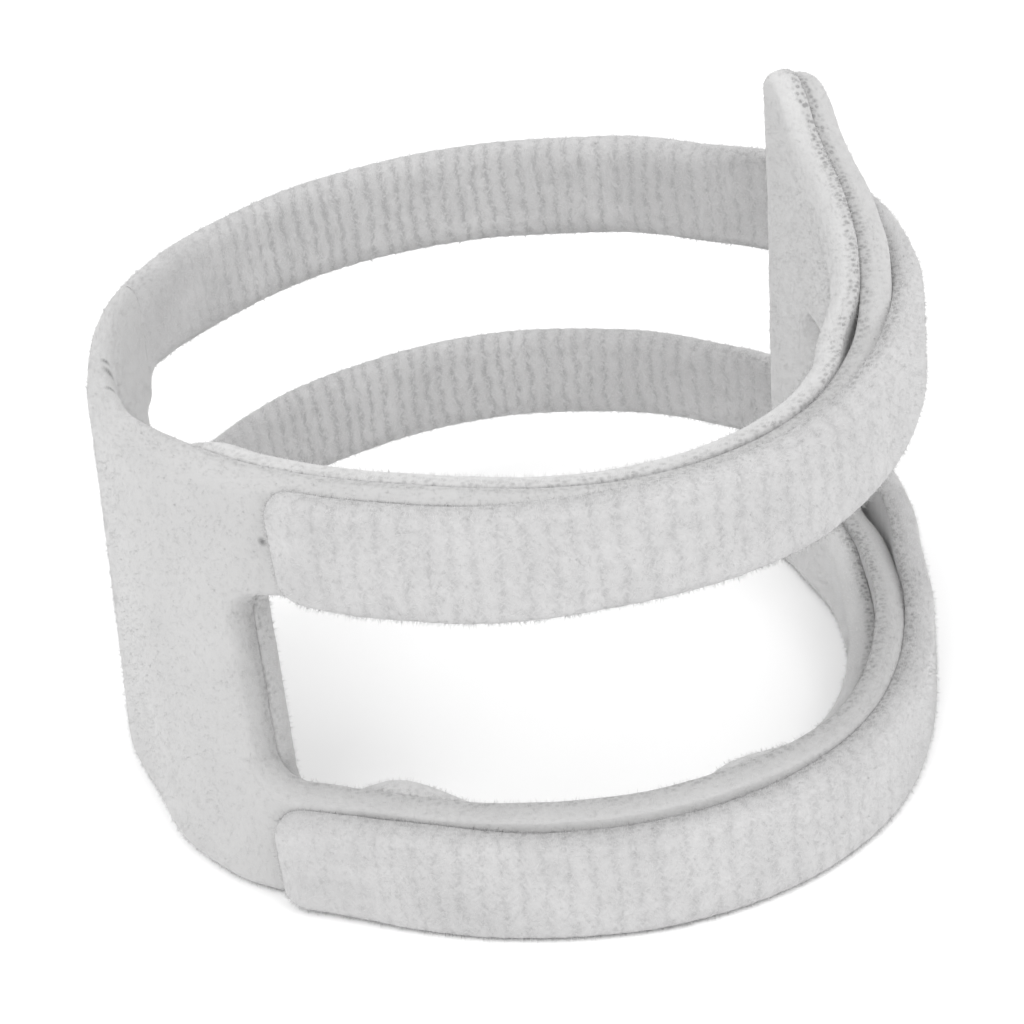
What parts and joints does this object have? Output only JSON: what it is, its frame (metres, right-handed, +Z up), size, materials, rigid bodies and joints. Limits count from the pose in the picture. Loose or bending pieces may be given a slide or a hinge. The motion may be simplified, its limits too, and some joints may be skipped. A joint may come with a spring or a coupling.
{
  "type": "wrist brace",
  "caption": "Soft wraparound wrist brace: a padded cuff strip wound round an open wrist hollow, with a wide side panel, a front window, a raised tab and strap loops closed by hook tape.",
  "frame": {"origin": "on the resting surface, under the middle of the brace's bounding box", "axes": "+Z up along the wrist's axis, -Y towards the front with the window, +X towards the raised tab's side"},
  "size_m": [0.0708, 0.0744, 0.048],
  "materials": {
    "lining_cloth": "brushed loop-faced cloth over thin foam, soft matt nap",
    "shell_cloth": "brushed loop-faced cloth over thin foam, fine matt nap",
    "strap_cloth": "brushed ribbed loop cloth over thin foam, longer fuzzy nap",
    "hook_tape": "woven nylon tape with fine hooks, matt"
  },
  "bodies": {
    "root": {"lining": "lining_cloth", "shell": "shell_cloth", "upper_strap": "strap_cloth", "lower_strap": "strap_cloth", "upper_hook_patch": "hook_tape", "lower_hook_patch": "hook_tape"}
  },
  "joints": []
}
